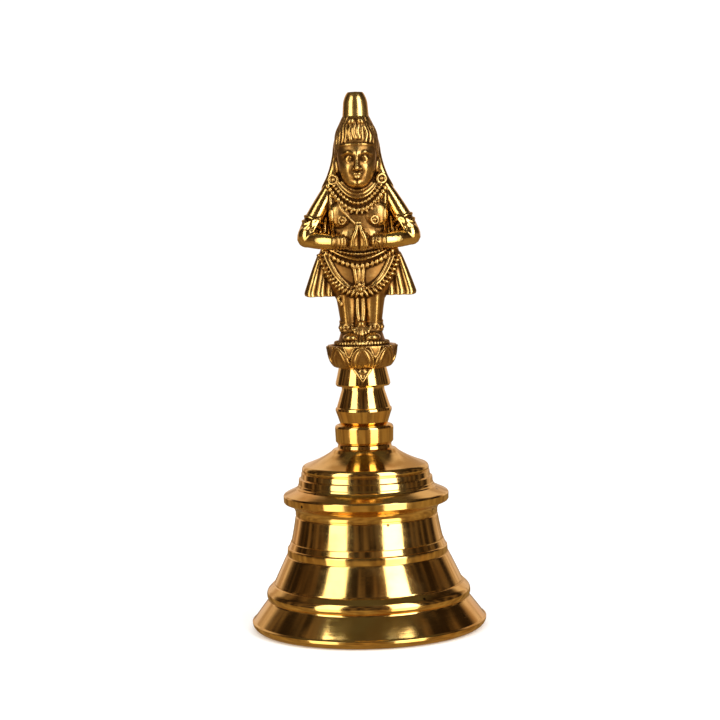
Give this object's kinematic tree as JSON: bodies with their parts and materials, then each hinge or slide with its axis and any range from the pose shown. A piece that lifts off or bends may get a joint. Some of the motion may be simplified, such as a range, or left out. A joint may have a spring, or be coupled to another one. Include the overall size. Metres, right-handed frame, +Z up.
{
  "type": "brass puja bell",
  "caption": "Flared brass hand bell for puja, with a hanging clapper and a cast handle in the form of a praying figure on a lotus.",
  "frame": {"origin": "centre of the bell's mouth, in the plane it stands on", "axes": "+Z up along the bell's axis from the mouth to the tip of the handle; the figure on the handle faces -Y"},
  "size_m": [0.071, 0.071, 0.161],
  "materials": {
    "polished_brass": "turned and polished to a mirror, with fine turning lines",
    "cast_brass": "sand cast and buffed, bright on the high parts and dark brown in the recesses",
    "plain_brass": "dull turned brass",
    "steel": "bright drawn steel"
  },
  "bodies": {
    "bell": {"bell_body": "polished_brass", "crown_collar": "polished_brass", "figure_handle": "cast_brass", "through_stud": "steel", "crown_washer": "plain_brass", "cap_nut": "plain_brass"},
    "hanger": {"swivel_eye": "steel"},
    "clapper": {"clapper_rod": "plain_brass", "clapper_ball": "plain_brass", "clapper_rivet": "plain_brass"}
  },
  "joints": [
    {"name": "clapper_turn", "type": "hinge", "parent": "bell", "child": "hanger", "pos_m": [0, 0, 0.044], "axis": [0, 0, 1], "continuous": true},
    {"name": "clapper_swing", "type": "hinge", "parent": "hanger", "child": "clapper", "pos_m": [0, 0, 0.0367], "axis": [0, 1, 0], "range_deg": [-40.4, 40.4]}
  ]
}
